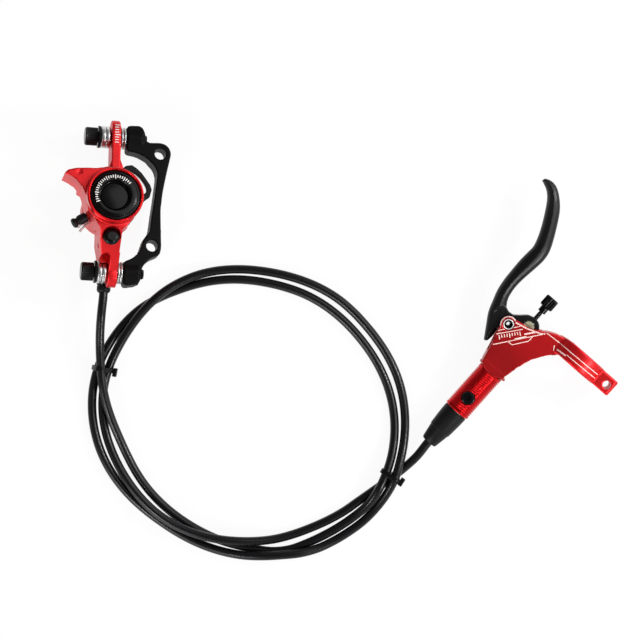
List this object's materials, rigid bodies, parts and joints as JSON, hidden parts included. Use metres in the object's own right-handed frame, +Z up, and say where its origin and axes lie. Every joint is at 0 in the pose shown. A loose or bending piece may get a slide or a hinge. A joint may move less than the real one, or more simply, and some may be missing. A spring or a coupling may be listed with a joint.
{
  "type": "hydraulic disc brake",
  "caption": "Hydraulic disc brake for a bicycle: caliper on a frame adapter, coiled hose held by ties, and a hand lever with an open bar clamp.",
  "frame": {"origin": "middle of the bottom face of the box round the rigid units, on the table they lie on", "axes": "+X from the caliper to the lever, +Y from the lever's hose towards the caliper's upper bolt, +Z up from the table"},
  "size_m": [0.2964, 0.2381, 0.0529],
  "materials": {
    "bare_steel": "bare, machined",
    "black_anodised": "anodised, satin",
    "black_plastic": "moulded",
    "black_rubber": "moulded",
    "black_steel": "black oxide",
    "brake_lining": "pressed friction compound",
    "plated_brass": "plated",
    "red_anodised": "anodised, satin"
  },
  "bodies": {
    "base": {"adapter_bracket": "black_anodised", "bleed_cap": "black_rubber", "bleed_nipple": "bare_steel", "body_screw": "black_steel", "bolt_lower": "black_steel", "bolt_upper": "black_steel", "caliper_body": "red_anodised", "cylinder_cap": "black_steel", "cylinder_sleeve": "red_anodised", "hose": "black_rubber", "hose_boot": "black_rubber", "hose_collar_caliper": "black_rubber", "hose_nut_caliper": "black_steel", "hose_nut_lever": "plated_brass", "lever_body": "red_anodised", "pad_pin": "bare_steel", "pad_spacer": "black_plastic", "pad_split_pin": "bare_steel", "piston_stop": "bare_steel", "return_spring": "bare_steel", "seal_front": "black_rubber", "seal_rear": "black_rubber", "sleeve_screw": "black_steel", "tie_left": "black_plastic", "tie_right": "black_plastic", "washer_dished_lower_left": "bare_steel", "washer_dished_lower_right": "bare_steel", "washer_dished_upper_left": "bare_steel", "washer_dished_upper_right": "bare_steel", "washer_domed_lower_left": "bare_steel", "washer_domed_lower_right": "bare_steel", "washer_domed_upper_left": "bare_steel", "washer_domed_upper_right": "bare_steel", "washer_flange_lower": "black_steel", "washer_flange_upper": "black_steel"},
    "blade": {"lever_blade": "black_anodised", "pivot_pin": "bare_steel"},
    "push_nut": {"barrel_nut": "plated_brass"},
    "push_rod": {"reach_screw": "black_steel"},
    "master": {"master_piston": "bare_steel", "cup_primary": "black_rubber", "cup_secondary": "black_rubber"},
    "slave_front": {"piston_front": "bare_steel", "pad_plate_front": "black_steel", "pad_lining_front": "brake_lining"},
    "slave_rear": {"piston_rear": "bare_steel", "pad_plate_rear": "black_steel", "pad_lining_rear": "brake_lining"}
  },
  "joints": [
    {"name": "lever_pull", "type": "hinge", "parent": "base", "child": "blade", "pos_m": [0.0896, -0.02134, 0.01443], "axis": [0.0631, 0.0721, -0.9954], "range_deg": [0, 38], "stiffness_Nm_per_rad": 0.25, "springref_deg": -20.05},
    {"name": "nut_turn", "type": "hinge", "parent": "blade", "child": "push_nut", "pos_m": [0.10053, -0.02298, 0.015], "axis": [0.0631, 0.0721, -0.9954], "range_deg": [-34, 1]},
    {"name": "reach_turn", "type": "hinge", "parent": "push_nut", "child": "push_rod", "pos_m": [0.10676, -0.01586, 0.01591], "axis": [0.6557, 0.749, 0.0958], "continuous": true},
    {"name": "master_slide", "type": "slide", "parent": "base", "child": "master", "axis": [-0.6557, -0.749, -0.0958], "range_m": [0, 0.0074]},
    {"name": "front_pad_slide", "type": "slide", "parent": "base", "child": "slave_front", "axis": [-0.2588, -0.1564, -0.9532], "range_m": [0, 0.0004]},
    {"name": "rear_pad_slide", "type": "slide", "parent": "base", "child": "slave_rear", "axis": [0.2588, 0.1564, 0.9532], "range_m": [0, 0.0004]}
  ],
  "couplings": [
    {"joint": "nut_turn", "follows": "lever_pull", "ratio": -0.86},
    {"joint": "master_slide", "follows": "lever_pull", "m_per_rad": 0.010856},
    {"joint": "front_pad_slide", "follows": "lever_pull", "m_per_rad": 0.0005911},
    {"joint": "rear_pad_slide", "follows": "lever_pull", "m_per_rad": 0.0005911}
  ]
}
